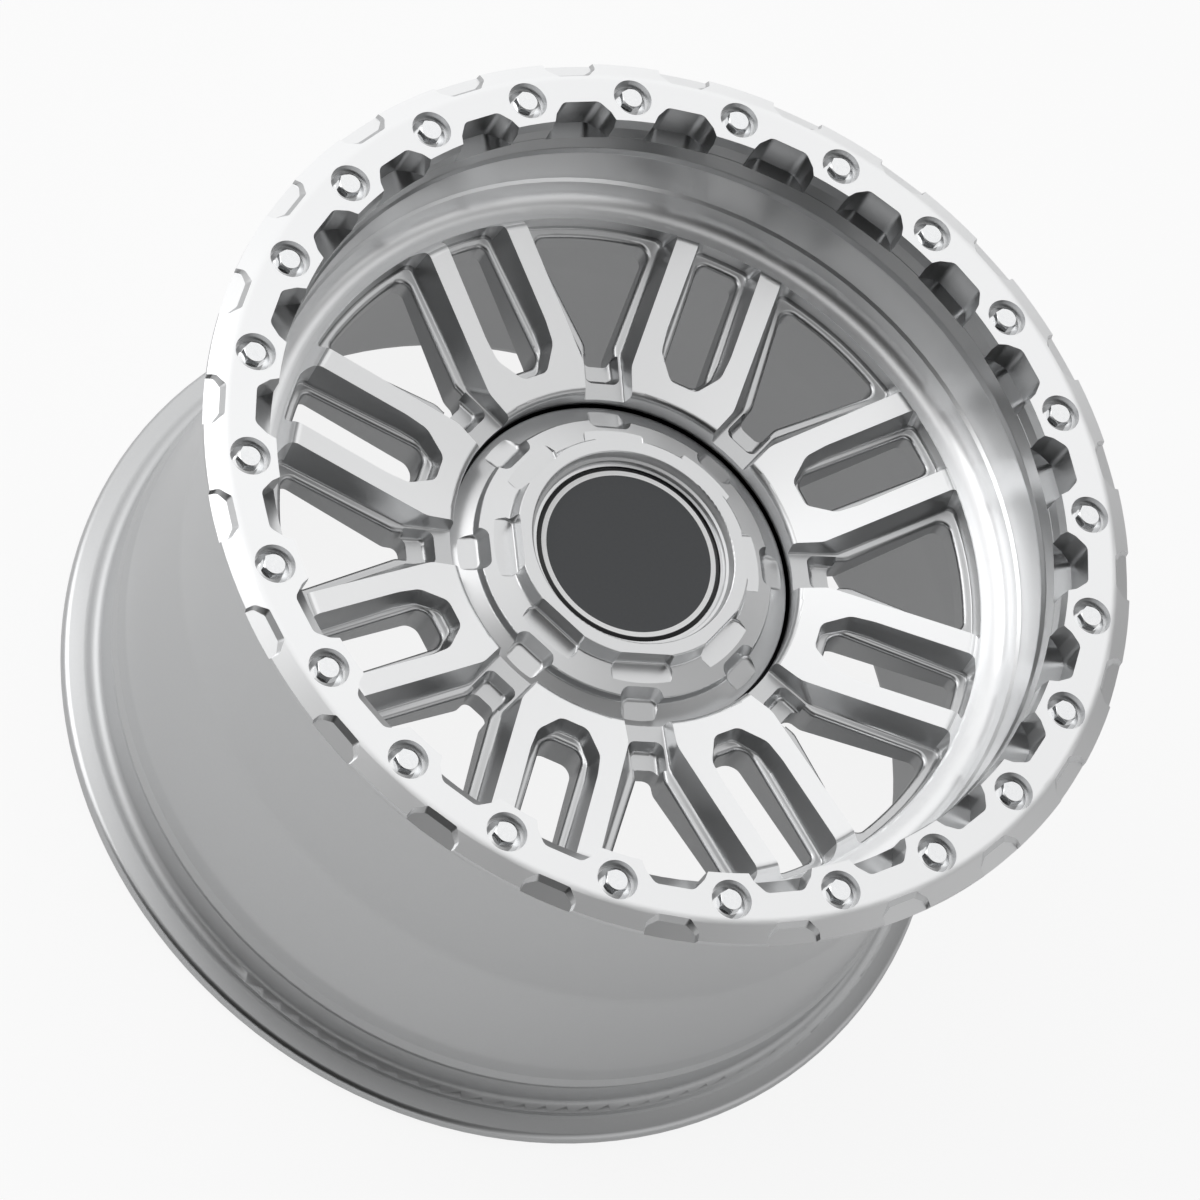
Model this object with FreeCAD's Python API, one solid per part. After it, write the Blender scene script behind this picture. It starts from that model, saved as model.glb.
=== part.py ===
import FreeCAD, Part
import math
import os

# Off-road wheel lying on its inner flange, outer face up. Millimetres, +Z along the wheel's axis to the
# outside, origin on the hub mounting pad. The rim is 17 by 9 inch with no offset: the pad lies midway
# between the tyre flanges.

# Rim
BEAD_R = 218.3
RIM_WIDTH = 228.6
FLANGE_HEIGHT = 17.3
FLANGE_THICK = 12.3
SEAT_WIDTH = 19.5
SEAT_DROP = 1.7
WELL_DEPTH = 11.8
WELL_FROM_FRONT = 34.8
WELL_REAR_Z = -10.0
BARREL_WALL = 7.0
HUMP_AT = 21.0
HUMP_DROP = 0.7
LEDGE_AT = 26.0
LEDGE_DROP = 2.5

HALF_WIDTH = RIM_WIDTH / 2
FLANGE_R = BEAD_R + FLANGE_HEIGHT
WELL_R = BEAD_R - WELL_DEPTH

# Lip inside the front flange
LIP_WALL = 7.5
LIP_BAND_STEP = 1.2
LIP_BAND_H = 11.0
LIP_SHOULDER_H = 3.5
LIP_STEP_Z = 78.1
LIP_FOOT_Z = 62.6
LIP_COVE_R = 8.0

LIP_R = WELL_R - LIP_WALL
LIP_BAND_R = LIP_R + LIP_BAND_STEP
LIP_FOOT_R = LIP_R - 3.8

# Bolted ring on the front flange, its bolts on one circle
RING_RISE = 18.0
RING_THICK = 13.8
RING_SLOPE_WIDTH = 9.8
RING_SLOPE_DROP = 4.2
RING_CURL_IN = 5.4
RING_CURL_UP = 6.8
TOOTH_SETBACK = 0.2
TOOTH_BEVEL_IN = 1.3
TOOTH_BEVEL_H = 5.5
SCALLOP_DEPTH = 11.3
SCALLOP_SLOPE = 0.45
NOTCH_DEPTH = 9.2
BOLT_COUNT = 24
BOLT_INSET = 20.6
BOLT_R = 3.0
BOLT_FLANGE_R = 8.5
BOLT_HEX_AF = 10.2
BOLT_HEAD_H = 6.2
BOLT_LENGTH = 12.0
TAPPED_SPARE = 1.0
COUNTERBORE_R = 9.9
COUNTERBORE_DEPTH = 6.4
BOLT_CLEARANCE = 0.3
THREAD_CLEARANCE = 0.05

RING_FACE_Z = HALF_WIDTH + RING_RISE
RING_SEAT_Z = RING_FACE_Z - RING_THICK
RING_TOOTH_R = LIP_BAND_R + TOOTH_SETBACK
BOLT_CIRCLE_R = FLANGE_R - BOLT_INSET
BOLT_SEAT_Z = RING_FACE_Z - COUNTERBORE_DEPTH

# Hub
PAD_R = 85.0
BORE_R = 53.05
PILOT_DEPTH = 10.0
CAP_BORE_STEP = 1.55
HUB_FLOOR_Z = 24.0
LUG_COUNT = 6
LUG_CIRCLE_R = 69.85
LUG_HOLE_R = 7.5
LUG_SEAT_R = 11.5
LUG_SEAT_Z = 14.0
LUG_WELL_R = 14.0
RELIEF_DEPTH = 9.0

CAP_BORE_R = BORE_R - CAP_BORE_STEP

# Centre cap with its emblem plate and spring wire
CAP_R = 87.7
CAP_GAP = 1.4
CAP_SHELF_Z = 38.6
CAP_EDGE_Z = 45.9
CAP_TOP_Z = 67.4
CAP_WALL = 3.0
EMBLEM_R = 47.5
EMBLEM_THICK = 2.6
EMBLEM_TOP_Z = 60.1
EMBLEM_CLEARANCE = 0.2
LEG_CLEARANCE = 0.6
LEG_WALL = 3.4
LEG_FOOT_Z = 11.5
LEG_SLIT = 12.0
WIRE_R = 1.5
WIRE_Z = 16.0
WIRE_GAP_DEG = 14.0

CAP_POCKET_R = CAP_R + CAP_GAP
HUB_FLOOR_R = CAP_R - CAP_WALL - 0.3
LEG_R = CAP_BORE_R - LEG_CLEARANCE

# Spoke disc between the cap's pocket and the lip
FACE_OUT_Z = 75.5
FACE_IN_Z = 59.7
ANNULUS_Z = 66.1
REAR_OUT_Z = 48.0
REAR_IN_Z = 34.3
REAR_IN_R = PAD_R + 24.2
FACE_IN_R = CAP_POCKET_R + 3.4
ANNULUS_R = LIP_R - 15.8
FACE_OUT_R = ANNULUS_R - 5.6
REAR_OUT_R = FACE_OUT_R - 0.4
FACE_SLOPE = (FACE_OUT_Z - FACE_IN_Z) / (FACE_OUT_R - FACE_IN_R)

# Spoke openings, eight of each kind
PAIR_COUNT = 8
LEDGE_OUT_Z = 59.2
LEDGE_SLOPE = 0.0864
SLOT_START_R = FACE_IN_R + 9.4
SLOT_HALF = 17.5
SLOT_WINDOW_HALF = 10.8
WINDOW_START_R = FACE_IN_R + 17.6
WINDOW_NOSE_HALF = 7.3
WINDOW_FLARE = 0.44
LAND_HALF = 12.2
SCOOP_HALF = 9.1
SCOOP_Z = 46.3
POCKET_CORNER_R = 4.0
LEDGE_COVE_R = 1.2
LEDGE_EDGE_R = 2.2
OPENING_R = ANNULUS_R - 0.9
OPENING_FLOOR_R = OPENING_R - 1.1
WINDOW_R = OPENING_FLOOR_R - 4.4
OPENING_FAR = OPENING_R + 15

# Valve hole, spot-faced on both sides of the barrel
VALVE_AT_DEG = -22.5
VALVE_HOLE_R = 5.75
VALVE_WALL = 5.0
VALVE_SEAT_AT = (LIP_R - 1.6, 70.2)
VALVE_SEAT_R = 7.4
VALVE_POCKET_R = 10.0
VALVE_SLOPE = -0.25

AXIS = FreeCAD.Vector(0, 0, 1)
ORIGIN = FreeCAD.Vector(0, 0, 0)


def corner_edges(corners, place):
    """Edges round closed corners (u, v, radius), an arc at each corner with a radius."""
    count = len(corners)
    joints = []
    for i in range(count):
        u, v, radius = corners[i]
        before = corners[i - 1]
        after = corners[(i + 1) % count]
        here = FreeCAD.Vector(u, v, 0)
        if radius == 0:
            joints.append((here, None, here))
            continue
        back = (FreeCAD.Vector(before[0], before[1], 0) - here).normalize()
        ahead = (FreeCAD.Vector(after[0], after[1], 0) - here).normalize()
        half = back.getAngle(ahead) / 2
        reach = radius / math.tan(half)
        bisector = (back + ahead).normalize()
        middle = here + bisector * (radius / math.sin(half) - radius)
        joints.append((here + back * reach, middle, here + ahead * reach))
    edges = []
    for i in range(count):
        start, middle, end = joints[i]
        if middle is not None:
            edges.append(Part.Arc(place(start), place(middle), place(end)).toShape())
        following = joints[(i + 1) % count][0]
        if (following - end).Length > 1e-6:
            edges.append(Part.LineSegment(place(end), place(following)).toShape())
    return edges


def turned(section):
    """Body of revolution about the axis from corners (r, z, radius)."""
    edges = corner_edges(section, lambda p: FreeCAD.Vector(p.x, 0, p.y))
    face = Part.Face(Part.Wire(edges))
    return Part.Solid(face.revolve(ORIGIN, AXIS, 360))


def both_sides(half):
    """Whole outline from its corners (x, y, radius) on the positive side."""
    return half + [(x, -y, radius) for x, y, radius in reversed(half)]


def outline_on(half, height):
    """Wire of a symmetrical outline on the sloping plane z = height(x)."""
    edges = corner_edges(both_sides(half), lambda p: FreeCAD.Vector(p.x, p.y, height(p.x)))
    return Part.Wire(edges)


def tapered(top, floor, top_z, floor_z, rise):
    """Pocket with sloping walls through two like outlines, drawn on past the upper one."""
    raised = []
    for (x, y, radius), (u, v, _) in zip(top, floor):
        raised.append((x + (x - u) * rise, y + (y - v) * rise, radius))

    def raised_z(x):
        return top_z(x) + (top_z(x) - floor_z(x)) * rise

    return Part.makeLoft([outline_on(raised, raised_z), outline_on(floor, floor_z)], True, True)


def prism(half, low, high):
    """Upright prism over a symmetrical outline."""
    wire = outline_on(half, lambda x: low)
    return Part.Face(wire).extrude(FreeCAD.Vector(0, 0, high - low))


def round_table(profile):
    """Cylinder or cone frustum about the axis through (r, z) at its lower and upper rim."""
    (r_low, z_low), (r_high, z_high) = profile
    return turned([(0, z_low, 0), (r_low, z_low, 0), (r_high, z_high, 0), (0, z_high, 0)])


def around(shape, count, first_deg):
    """Copies of a shape set evenly round the axis."""
    copies = []
    for i in range(count):
        turn = shape.copy()
        turn.rotate(ORIGIN, AXIS, first_deg + 360.0 / count * i)
        copies.append(turn)
    return copies


def upright(r, low, high, at=ORIGIN):
    return Part.makeCylinder(r, high - low, at + FreeCAD.Vector(0, 0, low))


def face_z(x):
    return FACE_IN_Z + FACE_SLOPE * (x - FACE_IN_R)


def ledge_z(x):
    return LEDGE_OUT_Z - LEDGE_SLOPE * (WINDOW_R - x)


def rounded(shape, radius, picked):
    """Shape with the picked edges rounded."""
    return shape.makeFillet(radius, [edge for edge in shape.Edges if picked(edge)])


def wheel_blank():
    """Barrel, lip, spoke disc and hub turned in one section."""
    front = HALF_WIDTH
    rear = -HALF_WIDTH
    back = rear - FLANGE_THICK
    inside = WELL_R - BARREL_WALL
    band_z = RING_SEAT_Z - LIP_BAND_H
    section = [
        (LIP_BAND_R, RING_SEAT_Z, 0),
        (FLANGE_R - RING_CURL_IN, RING_SEAT_Z, 0),
        (BEAD_R + 8.5, front, 3),
        (BEAD_R, front, 6),
        (BEAD_R - SEAT_DROP, front - SEAT_WIDTH, 3),
        (WELL_R, front - WELL_FROM_FRONT, 12),
        (WELL_R, WELL_REAR_Z, 50),
        (BEAD_R - LEDGE_DROP, rear + LEDGE_AT, 3),
        (BEAD_R - HUMP_DROP, rear + HUMP_AT, 2.5),
        (BEAD_R - SEAT_DROP, rear + HUMP_AT - 4, 0),
        (BEAD_R, rear, 5),
        (BEAD_R + 7, rear, 5),
        (FLANGE_R, rear - 3.5, 4),
        (FLANGE_R, back, 4.3),
        (BEAD_R - BARREL_WALL + 3.5, back, 3.5),
        (BEAD_R - BARREL_WALL, rear - 3.5, 7),
        (BEAD_R - LEDGE_DROP - BARREL_WALL, rear + LEDGE_AT - 2, 26),
        (inside, WELL_REAR_Z, 50),
        (inside, REAR_OUT_Z - 1.5, 12),
        (REAR_OUT_R, REAR_OUT_Z, 0),
        (REAR_IN_R, REAR_IN_Z, 9),
        (PAD_R, 0, 0),
        (BORE_R + 1.5, 0, 0),
        (BORE_R, 1.5, 0),
        (BORE_R, PILOT_DEPTH, 0),
        (CAP_BORE_R, PILOT_DEPTH, 0),
        (CAP_BORE_R, HUB_FLOOR_Z - 1, 0),
        (CAP_BORE_R + 1, HUB_FLOOR_Z, 0),
        (HUB_FLOOR_R, HUB_FLOOR_Z, 2),
        (HUB_FLOOR_R, CAP_SHELF_Z, 0),
        (CAP_POCKET_R, CAP_SHELF_Z, 0),
        (CAP_POCKET_R, face_z(CAP_POCKET_R), 3.5),
        (FACE_OUT_R, FACE_OUT_Z, 5),
        (ANNULUS_R, ANNULUS_Z, 2.5),
        (LIP_FOOT_R, LIP_FOOT_Z, LIP_COVE_R),
        (LIP_R - 1.5, LIP_STEP_Z, 0),
        (LIP_R - 0.1, LIP_STEP_Z + 1.7, 0),
        (LIP_R, band_z - LIP_SHOULDER_H, 3),
        (LIP_BAND_R, band_z, 3),
    ]
    return turned(section)


def opening_walls():
    """Outer end of a spoke opening, leaning out from its floor."""
    lean = (OPENING_R - OPENING_FLOOR_R) / (ANNULUS_Z - LEDGE_OUT_Z)
    low = LEDGE_OUT_Z - 20
    high = FACE_OUT_Z + 25
    return round_table([
        (OPENING_FLOOR_R - (LEDGE_OUT_Z - low) * lean, low),
        (OPENING_FLOOR_R + (high - LEDGE_OUT_Z) * lean, high),
    ])


def through_window(half):
    """Upright hole through the disc, ending on the round outer edge of the openings."""
    return prism(half, REAR_IN_Z - 15, LEDGE_OUT_Z + 5).common(upright(WINDOW_R, 0, RING_FACE_Z))


def opening(mouth, floor, window, corner_r):
    """Pocket down to a ledge and the window inside the ledge, with rounded corners and edges."""

    def far_corner(edge):
        box = edge.BoundBox
        reach = min(abs(box.YMin), abs(box.YMax))
        return box.XMin > WINDOW_R - 17 and box.ZLength > 5 and reach > 3

    def at_ledge(edge):
        return all(abs(v.Z - ledge_z(v.X)) < 0.02 for v in edge.Vertexes)

    pocket = tapered(mouth, floor, face_z, ledge_z, 0.5).common(opening_walls()).Solids[0]
    pocket = rounded(pocket, POCKET_CORNER_R, far_corner)
    pocket = rounded(pocket, LEDGE_COVE_R, at_ledge)
    hole = rounded(through_window(window).Solids[0], corner_r, far_corner)

    def at_window(edge):
        middle = Part.Vertex(edge.valueAt((edge.FirstParameter + edge.LastParameter) / 2))
        return at_ledge(edge) and hole.distToShape(middle)[0] < 0.01

    return rounded(pocket.fuse(hole).removeSplitter(), LEDGE_EDGE_R, at_window)


def slot_cut():
    """Bullet-shaped opening between the two spokes of a pair."""
    start = SLOT_START_R
    half = SLOT_HALF
    mouth = [
        (start, 6.9, 6),
        (start + 12.5, half - 1.2, 10),
        (start + 24.5, half, 25),
        (OPENING_FAR, half - 0.3, 0),
    ]
    floor = [
        (start + 2.6, 5.8, 5),
        (start + 13.8, half - 4.0, 8.5),
        (start + 24.5, half - 2.9, 21),
        (OPENING_FAR, half - 3.1, 0),
    ]
    nose = SLOT_WINDOW_HALF - 4.3
    window = [
        (start + 7.8, nose, nose - 0.5),
        (start + 12.5, SLOT_WINDOW_HALF, 7),
        (OPENING_FAR, SLOT_WINDOW_HALF, 0),
    ]
    return opening(mouth, floor, window, 4)


def window_cut():
    """Triangular opening between two pairs, with the land and the scoop that lead to it from the cap."""
    start = WINDOW_START_R
    far = OPENING_FAR
    inner = CAP_POCKET_R - 6.5
    land = LAND_HALF - 1.7
    mouth_flare = (far - start + 6.0) * (WINDOW_FLARE - 0.031)
    floor_flare = (far - start - 3.9) * WINDOW_FLARE
    hole_flare = (far - start - 8.6) * WINDOW_FLARE
    mouth = [(inner, LAND_HALF, 0), (start - 6.0, LAND_HALF + 0.2, 13), (far, LAND_HALF + mouth_flare, 0)]
    floor = [(inner, land, 0), (start + 3.9, land, 10), (far, land + floor_flare, 0)]
    nose = WINDOW_NOSE_HALF
    window = [(start, nose, 4.3), (start + 8.6, nose, 7), (far, nose + hole_flare, 0)]
    scoop_end = start + 3.0
    scoop_top = [(start - 12.5, SCOOP_HALF, 4.3), (scoop_end, SCOOP_HALF, 0)]
    scoop_floor = [(start - 9.1, SCOOP_HALF - 1.9, 3.4), (scoop_end, SCOOP_HALF - 1.9, 0)]
    scoop = tapered(scoop_top, scoop_floor, ledge_z, lambda x: SCOOP_Z, 0.4)

    def at_scoop_floor(edge):
        low = all(abs(v.Z - SCOOP_Z) < 0.01 for v in edge.Vertexes)
        return low and edge.BoundBox.XMin < scoop_end - 0.1

    scoop = rounded(scoop, 2.0, at_scoop_floor)
    return opening(mouth, floor, window, 5).fuse(scoop).removeSplitter()


def lug_cut():
    """Stud hole with a 60 degree nut seat and a well for the socket."""
    at = FreeCAD.Vector(LUG_CIRCLE_R, 0, 0)
    rise = (LUG_SEAT_R - LUG_HOLE_R) * math.sqrt(3)
    hole = upright(LUG_HOLE_R, -1, LUG_SEAT_Z, at)
    seat = Part.makeCone(LUG_HOLE_R, LUG_SEAT_R, rise, at + FreeCAD.Vector(0, 0, LUG_SEAT_Z - rise))
    well = upright(LUG_WELL_R, LUG_SEAT_Z, HUB_FLOOR_Z + 1, at)
    return hole.fuse([seat, well])


def valve_cut():
    """Hole for the valve, leaning forward to the axis."""
    seat_r, seat_z = VALVE_SEAT_AT
    seat = FreeCAD.Vector(seat_r, 0, seat_z)
    out = FreeCAD.Vector(1, 0, VALVE_SLOPE).normalize()
    hole = Part.makeCylinder(VALVE_HOLE_R, 2 * VALVE_WALL, seat, out)
    front = Part.makeCylinder(VALVE_SEAT_R, 12, seat, -out)
    pocket = Part.makeCylinder(VALVE_POCKET_R, 15, seat + out * VALVE_WALL, out)
    return hole.fuse([front, pocket])


def scallop_outline():
    """Half outline of the gap between two teeth of the ring, which the flange under it shares."""
    foot = RING_TOOTH_R + SCALLOP_DEPTH
    return [(RING_TOOTH_R - 8, 19.5, 0), (RING_TOOTH_R + 5.1, 14.6, 5), (foot, 9.5, 4.3)]


def scallop_pocket():
    """Sunk floor of a scallop in the flange, deepest at its outer end."""
    wire = outline_on(scallop_outline(), lambda x: RING_SEAT_Z - 1.3 - SCALLOP_SLOPE * (x - RING_TOOTH_R))
    return Part.Face(wire).extrude(FreeCAD.Vector(0, 0, RING_THICK))


def pad_relief():
    """Cast pocket in the mounting pad, midway between two studs."""
    outline = [(BORE_R + 7.5, 9.0, 4), (PAD_R - 6.0, 13.5, 5)]
    return rounded(
        prism(outline, -1, RELIEF_DEPTH),
        2.0,
        lambda edge: all(abs(v.Z - RELIEF_DEPTH) < 0.01 for v in edge.Vertexes),
    )


def wheel():
    body = wheel_blank()
    cuts = around(slot_cut(), PAIR_COUNT, 180.0 / PAIR_COUNT)
    cuts += around(window_cut(), PAIR_COUNT, 0)
    cuts += around(lug_cut(), LUG_COUNT, VALVE_AT_DEG)
    cuts += around(pad_relief(), LUG_COUNT, VALVE_AT_DEG + 180.0 / LUG_COUNT)
    bolt_at = FreeCAD.Vector(BOLT_CIRCLE_R, 0, 0)
    tapped_z = BOLT_SEAT_Z - BOLT_LENGTH - TAPPED_SPARE
    tapped = upright(BOLT_R + THREAD_CLEARANCE, tapped_z, RING_SEAT_Z + 1, bolt_at)
    cuts += around(tapped, BOLT_COUNT, 0)
    cuts += around(scallop_pocket(), BOLT_COUNT, 180.0 / BOLT_COUNT)
    cuts += around(valve_cut(), 1, VALVE_AT_DEG)
    return body.cut(cuts)


def beadlock_ring():
    top = RING_FACE_Z
    section = [
        (RING_TOOTH_R, RING_SEAT_Z, 0),
        (FLANGE_R - RING_CURL_IN, RING_SEAT_Z, 0),
        (FLANGE_R, RING_SEAT_Z + RING_CURL_UP, 2),
        (FLANGE_R, top - RING_SLOPE_DROP, 0),
        (FLANGE_R - RING_SLOPE_WIDTH, top, 9),
        (RING_TOOTH_R + TOOTH_BEVEL_IN, top, 0),
        (RING_TOOTH_R, top - TOOTH_BEVEL_H, 0),
    ]
    ring = turned(section)
    scallop = prism(scallop_outline(), RING_SEAT_Z - 1, top + 1)
    cuts = around(scallop, BOLT_COUNT, 180.0 / BOLT_COUNT)
    edge = FLANGE_R
    foot = edge - NOTCH_DEPTH + 2.2
    mouth = [(edge - NOTCH_DEPTH, 8.2, 3), (edge - 5.1, 14.1, 3.4), (edge + 5.4, 15.1, 0)]
    floor = [(foot, 6.9, 2.6), (edge - 3.8, 12.2, 3), (edge + 5.4, 12.9, 0)]
    notch = tapered(mouth, floor, lambda x: top, lambda x: top - 3.6 - 0.5 * (x - foot), 0.2)
    cuts += around(notch, BOLT_COUNT, 180.0 / BOLT_COUNT)
    bolt_at = FreeCAD.Vector(BOLT_CIRCLE_R, 0, 0)
    bore = upright(COUNTERBORE_R, BOLT_SEAT_Z, top + 1, bolt_at)
    hole = upright(BOLT_R + BOLT_CLEARANCE, RING_SEAT_Z - 1, top, bolt_at)
    cuts += around(bore.fuse(hole), BOLT_COUNT, 0)
    return ring.cut(cuts)


def ring_bolts():
    """Hexagon bolts with a coned flange under the head, standing in the counterbores."""
    at = FreeCAD.Vector(BOLT_CIRCLE_R, 0, BOLT_SEAT_Z)
    corner_r = BOLT_HEX_AF / math.sqrt(3)
    shank = Part.makeCylinder(BOLT_R, BOLT_LENGTH, at - FreeCAD.Vector(0, 0, BOLT_LENGTH))
    flange = Part.makeCylinder(BOLT_FLANGE_R, 0.9, at)
    cone = Part.makeCone(BOLT_FLANGE_R, corner_r, 1.0, at + FreeCAD.Vector(0, 0, 0.9))
    corners = []
    for i in range(7):
        turn = math.radians(60 * i)
        corners.append(at + FreeCAD.Vector(corner_r * math.cos(turn), corner_r * math.sin(turn), 0.9))
    head = Part.Face(Part.makePolygon(corners)).extrude(FreeCAD.Vector(0, 0, BOLT_HEAD_H - 0.9))
    crown_r = corner_r * 0.84
    crown = Part.makeCone(crown_r + BOLT_HEAD_H * math.sqrt(3), crown_r, BOLT_HEAD_H, at)
    bolt = shank.fuse([flange, cone, head.common(crown)]).removeSplitter()
    return Part.makeCompound(around(bolt, BOLT_COUNT, 0))


def cap_notch():
    """U-shaped notch in the cap's skirt, in line with the land of a window."""
    start = CAP_R - 16.7
    foot = start + 3.4
    far = CAP_R + 6.9
    mouth = [(start, 11.2, 5.2), (far, 11.7, 0)]
    floor = [(foot, 9.1, 3.9), (far, 10.0, 0)]

    def floor_z(x):
        return CAP_EDGE_Z + 4.0 - 0.24 * (x - foot)

    def at_floor(edge):
        low = all(abs(v.Z - floor_z(v.X)) < 0.01 for v in edge.Vertexes)
        return low and edge.BoundBox.XMin < far - 0.1

    notch = tapered(mouth, floor, lambda x: CAP_EDGE_Z + 10.3, floor_z, 0.3)
    return rounded(notch, 2.6, at_floor)


def cap_slot():
    """Shallow slot across the cap's upper step."""
    low = CAP_TOP_Z - 10.0
    far = CAP_R - 10.3
    outline = [(CAP_R - 30.1, 13.8, 2), (CAP_R - 26.2, 15.9, 0), (far, 15.9, 0)]

    def at_floor(edge):
        return all(abs(v.Z - low) < 0.01 for v in edge.Vertexes) and edge.BoundBox.XMin < far - 0.1

    return rounded(prism(outline, low, CAP_TOP_Z + 1), 1.2, at_floor)


def centre_cap():
    seat_r = EMBLEM_R + EMBLEM_CLEARANCE
    seat_z = EMBLEM_TOP_Z - EMBLEM_THICK
    under = seat_z - CAP_WALL
    rim = CAP_R
    section = [
        (0, seat_z, 0),
        (seat_r, seat_z, 0),
        (seat_r, EMBLEM_TOP_Z, 0),
        (seat_r + 1.5, EMBLEM_TOP_Z, 0),
        (seat_r + 2.1, EMBLEM_TOP_Z + 2.1, 0),
        (seat_r + 3.4, EMBLEM_TOP_Z + 2.6, 0),
        (seat_r + 4.4, CAP_TOP_Z, 0.8),
        (rim - 28.0, CAP_TOP_Z, 1.0),
        (rim - 26.2, CAP_TOP_Z - 8.2, 1.5),
        (rim - 11.8, CAP_TOP_Z - 11.8, 0.8),
        (rim - 10.9, CAP_EDGE_Z + 5.2, 1.0),
        (rim, CAP_EDGE_Z, 0.9),
        (rim, CAP_SHELF_Z, 0),
        (rim - CAP_WALL, CAP_SHELF_Z, 0),
        (rim - CAP_WALL, CAP_EDGE_Z - 2.6, 1.7),
        (rim - 13.7, CAP_EDGE_Z + 1.1, 0),
        (LEG_R + 5.9, CAP_EDGE_Z + 4.7, 2.5),
        (LEG_R, CAP_EDGE_Z + 6.4, 0),
        (LEG_R, LEG_FOOT_Z + 2.0, 0),
        (LEG_R - 1.3, LEG_FOOT_Z, 0),
        (LEG_R - LEG_WALL, LEG_FOOT_Z, 0),
        (LEG_R - LEG_WALL, under, 2.5),
        (0, under, 0),
    ]
    cap = turned(section)
    cuts = around(cap_notch(), PAIR_COUNT, 0)
    cuts += around(cap_slot(), PAIR_COUNT, 0)
    slit = Part.makeBox(LEG_R, LEG_SLIT, 30, FreeCAD.Vector(30, -LEG_SLIT / 2, LEG_FOOT_Z - 1))
    cuts += around(slit, PAIR_COUNT, 180.0 / PAIR_COUNT)
    groove = Part.makeTorus(CAP_BORE_R - WIRE_R, WIRE_R, FreeCAD.Vector(0, 0, WIRE_Z))
    cuts.append(groove)
    return cap.cut(cuts)


def cap_emblem():
    """Plain round plate with a bevelled rim."""
    low = EMBLEM_TOP_Z - EMBLEM_THICK
    section = [
        (0, low, 0),
        (EMBLEM_R, low, 0),
        (EMBLEM_R, EMBLEM_TOP_Z - 0.9, 0.4),
        (EMBLEM_R - 2.1, EMBLEM_TOP_Z, 0.9),
        (0, EMBLEM_TOP_Z, 0),
    ]
    return turned(section)


def cap_retaining_ring():
    """Open ring of spring wire, seated in the groove of the cap's legs and bearing on the cap bore."""
    wire_at = FreeCAD.Vector(CAP_BORE_R - WIRE_R, 0, WIRE_Z)
    circle = Part.Face(Part.Wire(Part.makeCircle(WIRE_R, wire_at, FreeCAD.Vector(0, 1, 0))))
    ring = circle.revolve(ORIGIN, AXIS, 360 - WIRE_GAP_DEG)
    ring.rotate(ORIGIN, AXIS, WIRE_GAP_DEG / 2 + VALVE_AT_DEG)
    return ring


os.makedirs("parts", exist_ok=True)
nodes = {
    "wheel": wheel,
    "beadlock_ring": beadlock_ring,
    "ring_bolts": ring_bolts,
    "centre_cap": centre_cap,
    "cap_emblem": cap_emblem,
    "cap_retaining_ring": cap_retaining_ring,
}
for name, make in nodes.items():
    make().exportStep(f"parts/{name}.step")
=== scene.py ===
import math

import bmesh
import bpy
from mathutils import Matrix, Quaternion, Vector


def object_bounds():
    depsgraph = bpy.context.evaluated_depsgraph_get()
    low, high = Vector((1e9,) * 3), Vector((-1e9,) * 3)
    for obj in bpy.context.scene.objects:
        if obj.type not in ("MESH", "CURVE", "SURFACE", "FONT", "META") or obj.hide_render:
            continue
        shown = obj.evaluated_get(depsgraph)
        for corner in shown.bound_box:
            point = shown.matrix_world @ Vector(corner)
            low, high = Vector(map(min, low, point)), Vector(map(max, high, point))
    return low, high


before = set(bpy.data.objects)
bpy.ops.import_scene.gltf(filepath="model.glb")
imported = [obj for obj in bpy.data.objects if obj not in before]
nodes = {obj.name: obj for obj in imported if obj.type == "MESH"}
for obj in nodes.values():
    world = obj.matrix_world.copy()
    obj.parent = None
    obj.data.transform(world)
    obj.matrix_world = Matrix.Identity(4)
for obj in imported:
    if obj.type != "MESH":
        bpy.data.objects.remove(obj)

first_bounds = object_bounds()
scene = bpy.context.scene

# The machined spoke face is a cone through these two circles: radius and height, metres
FACE_INNER = (0.0925, 0.0597)
FACE_OUTER = (0.1776, 0.0755)

# Zones with their own finish, and one zone of painted shade: low, high and soft edge, metres from the
# axis (R) or along it (Z)
FACE_R = (0.0885, 0.1776, 0.0004)
LIP_R = (0.1777, 0.1996, 0.0003)
LIP_Z = (0.0620, 0.1040, 0.0006)
# The recess round the cap is a zone of painted shade, coloured near black where it lies in shadow
CAP_POCKET_SHADE_R = (0.0840, 0.08945, 0.0001)
CAP_POCKET_SHADE_Z = (0.0380, 0.0465, 0.0006)
REAR_SEAT_Z = (-0.1130, -0.0800, 0.004)
PLATE_LINE_R = (0.0427, 0.0451, 0.00015)

# Edges of zones: where the zone is not yet there, and where it is full
OFF_FACE = (0.0006, 0.0002)
REAR_SEAT_R = (0.2135, 0.2150)
PLATE_EDGE_R = (0.0452, 0.0456)
FACE_UPWARD = (0.90, 0.96)
RING_UPWARD = (0.80, 0.92)

# Finishes: two close colours that the grain or the turned lines run between
PAINT = ((0.565, 0.570, 0.575), (0.595, 0.600, 0.605))
BRIGHT = ((0.900, 0.905, 0.910), (0.935, 0.940, 0.945))
CHROME = ((0.80, 0.81, 0.82), (0.900, 0.905, 0.910))
CAP_PAINT = ((0.700, 0.705, 0.710), (0.720, 0.725, 0.730))
PLATE = ((0.050, 0.053, 0.057), (0.058, 0.061, 0.065))
SPRING_STEEL = ((0.34, 0.34, 0.35), (0.46, 0.46, 0.47))
FLOOR_TONE = ((0.92, 0.92, 0.92), (0.94, 0.94, 0.94))
# Painted shade: near black laid in the shadowed recess round the cap
POCKET_PAINTED_SHADE = (0.020, 0.020, 0.021)
PLATE_WHITE = (0.93, 0.93, 0.93)
PLATE_BLACK = (0.012, 0.012, 0.013)

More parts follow.
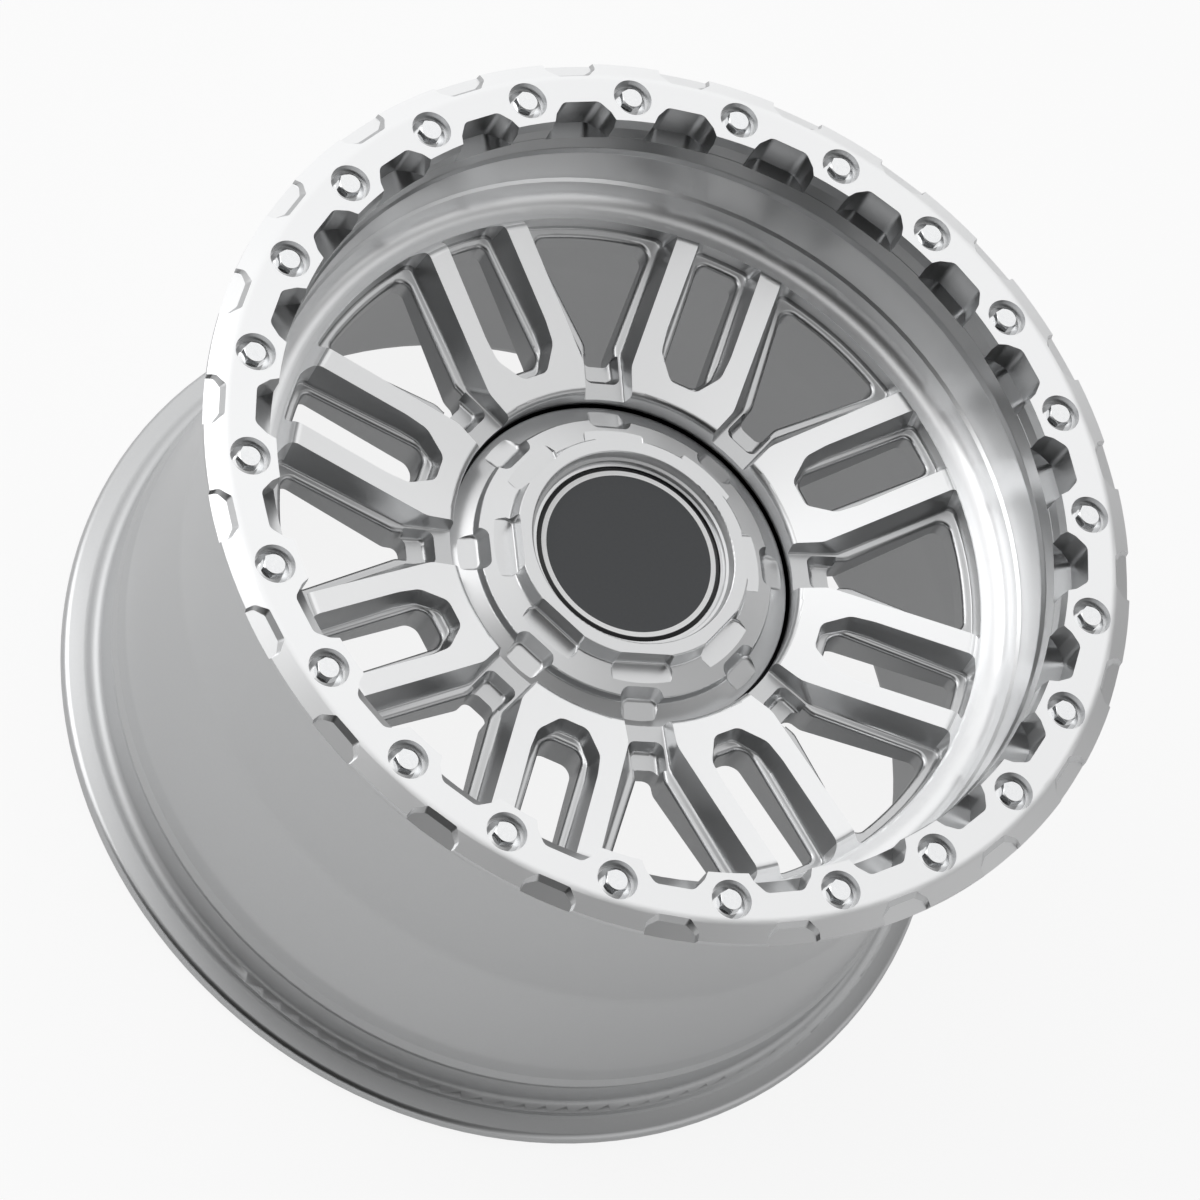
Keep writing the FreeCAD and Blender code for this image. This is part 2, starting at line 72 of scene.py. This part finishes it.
# Roughness, from the low to the high side of the grain or lines
PAINT_ROUGH = (0.28, 0.31)
FACE_ROUGH = (0.29, 0.36)
LIP_ROUGH = (0.30, 0.34)
RING_ROUGH = (0.28, 0.33)
RING_SIDE_ROUGH = 0.28
REAR_SEAT_ROUGH = 0.5
CHROME_ROUGH = (0.08, 0.16)
CAP_ROUGH = (0.29, 0.33)
PLATE_ROUGH = (0.26, 0.34)
WIRE_ROUGH = (0.25, 0.40)

# Fineness of the grain and of the turned lines, repeats in a metre
WHEEL_LINES = 2600.0
RING_LINES = 2400.0
LINE_DETAIL = 3.0
WHEEL_GRAIN = 900.0
RING_GRAIN = 1100.0
CHROME_GRAIN = 700.0
CAP_GRAIN = 300.0
WIRE_GRAIN = 800.0
PLATE_GRAIN = 600.0
FLOOR_GRAIN = 1.5

# Relief of the grain and of the turned lines
RELIEF_DEPTH = 0.0002
GRAIN_RELIEF = 0.012
LINE_RELIEF = 0.010
FACE_TURNED = 0.75
RING_TURNED = 0.6
PLATE_SHEEN = 0.4

# Studio
FLOOR_Z = first_bounds[0].z
FLOOR_HALF = 8.0
FLOOR_SEEN = 0.88
FLOOR_MIRRORED = 0.28
# Parts of the world's light: direction, cosines where it starts and is full, level outside and inside
SKY_LEFT = ((-0.75, 0.35, 0.55), 0.0, 0.75, 0.18, 1.02)
FILL_RIGHT = ((0.98, 0.10, 0.0), 0.40, 0.90, 0.0, 0.76)
DARK_BEHIND_CAMERA = ((0.05, -0.84, 0.54), 0.55, 0.92, 1.0, 0.08)
SOFTBOX_PLACE = (-2.8, -1.0, 1.8)
SOFTBOX_SIDE = 3.0
SOFTBOX_WATTS = 32

# Camera at the photograph's view
CAMERA_PLACE = (0.17926, -1.68825, 2.55968)
CAMERA_AIM = (0.00184, 0.00835, 0.0)
CAMERA_ROLL = math.radians(37.614)
CAMERA_LENS = 186.2335
CAMERA_SENSOR = 36.0
CAMERA_REACH = 50.0


class Graph:
    """Short way to write a material's nodes."""

    def __init__(self, name):
        self.material = bpy.data.materials.new(name)
        self.material.use_nodes = True
        self.tree = self.material.node_tree
        self.tree.nodes.clear()
        self.out = self.add("ShaderNodeOutputMaterial")

    def add(self, kind, **values):
        node = self.tree.nodes.new(kind)
        for key, value in values.items():
            setattr(node, key, value)
        return node

    def put(self, socket, value):
        """Link a socket to a socket, or write a plain value on it."""
        if isinstance(value, bpy.types.NodeSocket):
            self.tree.links.new(value, socket)
        elif isinstance(value, tuple) and len(value) == 3 and socket.type == "RGBA":
            socket.default_value = (*value, 1.0)
        else:
            socket.default_value = value

    def math(self, operation, *values):
        node = self.add("ShaderNodeMath", operation=operation)
        for socket, value in zip(node.inputs, values):
            self.put(socket, value)
        return node.outputs[0]

    def both(self, a, b):
        """Where two zones overlap, or a zone at a given strength."""
        return self.math("MULTIPLY", a, b)

    def step(self, value, start, end):
        """0 at start, running smoothly to 1 at end."""
        node = self.add("ShaderNodeMapRange", interpolation_type="SMOOTHSTEP")
        self.put(node.inputs["Value"], value)
        self.put(node.inputs["From Min"], start)
        self.put(node.inputs["From Max"], end)
        return node.outputs[0]

    def band(self, value, low, high, soft):
        """1 between low and high, falling to 0 over soft."""
        up = self.step(value, low - soft, low)
        down = self.step(value, high + soft, high)
        return self.both(up, down)

    def mix(self, factor, a, b):
        """Colour between a and b. A Mix node has its colour sockets at 6 and 7."""
        node = self.add("ShaderNodeMix", data_type="RGBA")
        self.put(node.inputs[0], factor)
        self.put(node.inputs[6], a)
        self.put(node.inputs[7], b)
        return node.outputs[2]

    def blend(self, factor, a, b):
        """Number between a and b."""
        node = self.add("ShaderNodeMix", data_type="FLOAT")
        self.put(node.inputs[0], factor)
        self.put(node.inputs[2], a)
        self.put(node.inputs[3], b)
        return node.outputs[0]

    def noise(self, vector, scale, detail=2.0):
        node = self.add("ShaderNodeTexNoise")
        self.put(node.inputs["Vector"], vector)
        self.put(node.inputs["Scale"], scale)
        self.put(node.inputs["Detail"], detail)
        return node.outputs[0]

    def place(self):
        """Object coordinates."""
        return self.add("ShaderNodeTexCoord").outputs["Object"]

    def split(self, vector):
        node = self.add("ShaderNodeSeparateXYZ")
        self.put(node.inputs[0], vector)
        return node.outputs

    def radius_and_height(self):
        """Distance from the wheel's axis, and height along it."""
        x, y, z = self.split(self.place())
        square = self.math("ADD", self.both(x, x), self.both(y, y))
        return self.math("SQRT", square), z

    def upward(self):
        """How far the surface faces up, from -1 to 1."""
        return self.split(self.add("ShaderNodeNewGeometry").outputs["True Normal"])[2]

    def grain(self, scale):
        return self.noise(self.place(), scale)

    def turned_lines(self, along, scale):
        """Fine lines about the axis, one after the other along a distance."""
        combine = self.add("ShaderNodeCombineXYZ")
        self.put(combine.inputs[0], along)
        return self.noise(combine.outputs[0], scale, LINE_DETAIL)

    def across_turning(self):
        """Direction along the surface at right angles to lines turned about the axis."""
        x, y, _ = self.split(self.place())
        flat = self.add("ShaderNodeCombineXYZ")
        self.put(flat.inputs[0], x)
        self.put(flat.inputs[1], y)
        unit = self.add("ShaderNodeVectorMath", operation="NORMALIZE")
        self.put(unit.inputs[0], flat.outputs[0])
        lifted = self.add("ShaderNodeVectorMath", operation="ADD")
        self.put(lifted.inputs[0], unit.outputs[0])
        self.put(lifted.inputs[1], (0.0, 0.0, 1.0))
        return lifted.outputs[0]

    def relief(self, machined, grain, lines):
        """Surface direction with a little of the grain, or of the lines where it is machined."""
        node = self.add("ShaderNodeBump")
        self.put(node.inputs["Height"], self.blend(machined, grain, lines))
        self.put(node.inputs["Strength"], self.blend(machined, GRAIN_RELIEF, LINE_RELIEF))
        self.put(node.inputs["Distance"], RELIEF_DEPTH)
        return node.outputs[0]

    def surface(self, **values):
        node = self.add("ShaderNodeBsdfPrincipled")
        for key, value in values.items():
            self.put(node.inputs[key.replace("_", " ")], value)
        self.put(self.out.inputs[0], node.outputs[0])
        return self.material


def wheel_finish():
    """Painted casting with a machined spoke face and lip, and painted shade, near black, in the recess
    round the cap.
    """
    g = Graph("cast_and_machined_aluminium")
    radius, height = g.radius_and_height()
    slope = (FACE_OUTER[1] - FACE_INNER[1]) / (FACE_OUTER[0] - FACE_INNER[0])
    outward = g.math("SUBTRACT", radius, FACE_INNER[0])
    cone = g.math("MULTIPLY_ADD", outward, slope, FACE_INNER[1])
    off_cone = g.math("ABSOLUTE", g.math("SUBTRACT", height, cone))
    face = g.both(g.step(off_cone, *OFF_FACE), g.band(radius, *FACE_R))
    face = g.both(face, g.step(g.upward(), *FACE_UPWARD))
    lip = g.both(g.band(radius, *LIP_R), g.band(height, *LIP_Z))
    machined = g.math("MAXIMUM", face, lip)
    # Painted shade: the shadowed recess round the cap is coloured near black
    pocket_shade = g.both(g.band(radius, *CAP_POCKET_SHADE_R), g.band(height, *CAP_POCKET_SHADE_Z))
    seat = g.both(g.step(radius, *REAR_SEAT_R), g.band(height, *REAR_SEAT_Z))

    lines = g.turned_lines(g.math("ADD", radius, height), WHEEL_LINES)
    grain = g.grain(WHEEL_GRAIN)
    cast = g.mix(pocket_shade, g.mix(grain, *PAINT), POCKET_PAINTED_SHADE)
    turned_rough = g.blend(lip, g.blend(lines, *FACE_ROUGH), g.blend(lines, *LIP_ROUGH))
    rough = g.blend(machined, g.blend(grain, *PAINT_ROUGH), turned_rough)
    return g.surface(
        Base_Color=g.mix(machined, cast, g.mix(lines, *BRIGHT)),
        Metallic=1.0,
        Roughness=g.blend(seat, rough, REAR_SEAT_ROUGH),
        Normal=g.relief(machined, grain, lines),
        Anisotropic=g.both(machined, FACE_TURNED),
        Tangent=g.across_turning(),
    )


def ring_finish():
    """Ring with a machined top and painted sides."""
    g = Graph("machined_ring")
    radius, _ = g.radius_and_height()
    top = g.step(g.upward(), *RING_UPWARD)
    lines = g.turned_lines(radius, RING_LINES)
    grain = g.grain(RING_GRAIN)
    return g.surface(
        Base_Color=g.mix(top, g.mix(grain, *PAINT), g.mix(lines, *BRIGHT)),
        Metallic=1.0,
        Roughness=g.blend(top, RING_SIDE_ROUGH, g.blend(lines, *RING_ROUGH)),
        Normal=g.relief(top, grain, lines),
        Anisotropic=g.both(top, RING_TURNED),
        Tangent=g.across_turning(),
    )


def plain_metal(name, grain_scale, colours, rough):
    """Metal of one finish with a faint grain."""
    g = Graph(name)
    grain = g.grain(grain_scale)
    return g.surface(Base_Color=g.mix(grain, *colours), Metallic=1.0, Roughness=g.blend(grain, *rough))


def chrome_finish():
    return plain_metal("chromed_steel", CHROME_GRAIN, CHROME, CHROME_ROUGH)


def cap_finish():
    return plain_metal("painted_cap", CAP_GRAIN, CAP_PAINT, CAP_ROUGH)


def wire_finish():
    return plain_metal("spring_steel", WIRE_GRAIN, SPRING_STEEL, WIRE_ROUGH)


def plate_finish():
    """Dark plate with a white line near its black edge."""
    g = Graph("printed_plate")
    radius, _ = g.radius_and_height()
    grain = g.grain(PLATE_GRAIN)
    lined = g.mix(g.band(radius, *PLATE_LINE_R), g.mix(grain, *PLATE), PLATE_WHITE)
    colour = g.mix(g.step(radius, *PLATE_EDGE_R), lined, PLATE_BLACK)
    rough = g.blend(grain, *PLATE_ROUGH)
    return g.surface(Base_Color=colour, Roughness=rough, Specular_IOR_Level=PLATE_SHEEN)


def floor_finish():
    """Pale matt floor that keeps shadows, and looks nearly white to the camera and in the metal."""
    g = Graph("pale_floor")
    matt = g.add("ShaderNodeBsdfDiffuse")
    g.put(matt.inputs[0], g.mix(g.grain(FLOOR_GRAIN), *FLOOR_TONE))
    glow = g.add("ShaderNodeEmission")
    glow.inputs["Strength"].default_value = 1.0
    path = g.add("ShaderNodeLightPath")
    mirrored = g.math("MAXIMUM", path.outputs["Is Glossy Ray"], path.outputs["Is Transmission Ray"])
    seen = g.both(path.outputs["Is Camera Ray"], FLOOR_SEEN)
    paper = g.add("ShaderNodeMixShader")
    g.put(paper.inputs[0], g.math("MULTIPLY_ADD", mirrored, FLOOR_MIRRORED, seen))
    g.put(paper.inputs[1], matt.outputs[0])
    g.put(paper.inputs[2], glow.outputs[0])
    g.put(g.out.inputs[0], paper.outputs[0])
    return g.material


def lay_floor():
    """Flat floor under the inner flange."""
    mesh = bpy.data.meshes.new("floor")
    build = bmesh.new()
    bmesh.ops.create_grid(build, x_segments=1, y_segments=1, size=FLOOR_HALF)
    bmesh.ops.translate(build, vec=Vector((0, 0, FLOOR_Z)), verts=build.verts)
    build.to_mesh(mesh)
    build.free()
    mesh.materials.append(floor_finish())
    floor = bpy.data.objects.new("floor", mesh)
    scene.collection.objects.link(floor)


def light_world():
    """Soft studio light: bright from the upper left, some fill from the right, dark behind the camera."""
    world = bpy.data.worlds.new("studio")
    scene.world = world
    world.use_nodes = True
    sky = world.node_tree
    direction = sky.nodes.new("ShaderNodeTexCoord").outputs["Generated"]

    def lobe(toward, start, full, outside, inside):
        facing = sky.nodes.new("ShaderNodeVectorMath")
        facing.operation = "DOT_PRODUCT"
        facing.inputs[1].default_value = toward
        sky.links.new(direction, facing.inputs[0])
        fall = sky.nodes.new("ShaderNodeMapRange")
        fall.interpolation_type = "SMOOTHSTEP"
        sky.links.new(facing.outputs["Value"], fall.inputs["Value"])
        fall.inputs["From Min"].default_value = start
        fall.inputs["From Max"].default_value = full
        fall.inputs["To Min"].default_value = outside
        fall.inputs["To Max"].default_value = inside
        return fall.outputs[0]

    def joined(operation, a, b):
        node = sky.nodes.new("ShaderNodeMath")
        node.operation = operation
        sky.links.new(a, node.inputs[0])
        sky.links.new(b, node.inputs[1])
        return node.outputs[0]

    level = joined("MAXIMUM", lobe(*SKY_LEFT), lobe(*FILL_RIGHT))
    level = joined("MULTIPLY", level, lobe(*DARK_BEHIND_CAMERA))
    background = sky.nodes["Background"]
    background.inputs["Color"].default_value = (1.0, 1.0, 1.0, 1.0)
    sky.links.new(level, background.inputs["Strength"])


def hang_softbox():
    lamp = bpy.data.lights.new("left_softbox", "AREA")
    lamp.shape = "RECTANGLE"
    lamp.size = SOFTBOX_SIDE
    lamp.size_y = SOFTBOX_SIDE
    lamp.energy = SOFTBOX_WATTS
    box = bpy.data.objects.new("left_softbox", lamp)
    box.location = SOFTBOX_PLACE
    box.rotation_mode = "QUATERNION"
    box.rotation_quaternion = (-Vector(SOFTBOX_PLACE)).to_track_quat("-Z", "Y")
    scene.collection.objects.link(box)


def set_camera():
    camera = bpy.data.cameras.new("camera")
    camera.sensor_width = CAMERA_SENSOR
    camera.lens = CAMERA_LENS
    camera.clip_end = CAMERA_REACH
    view = bpy.data.objects.new("camera", camera)
    place = Vector(CAMERA_PLACE)
    facing = (place - Vector(CAMERA_AIM)).to_track_quat("Z", "Y")
    turn = facing @ Quaternion((0, 0, 1), CAMERA_ROLL)
    view.matrix_world = Matrix.Translation(place) @ turn.to_matrix().to_4x4()
    scene.collection.objects.link(view)
    scene.camera = view


finishes = {
    "wheel": wheel_finish,
    "beadlock_ring": ring_finish,
    "ring_bolts": chrome_finish,
    "centre_cap": cap_finish,
    "cap_emblem": plate_finish,
    "cap_retaining_ring": wire_finish,
}
for name, make in finishes.items():
    mesh = nodes[name].data
    mesh.materials.clear()
    mesh.materials.append(make())

lay_floor()
light_world()
hang_softbox()
set_camera()
scene.view_settings.view_transform = "Standard"
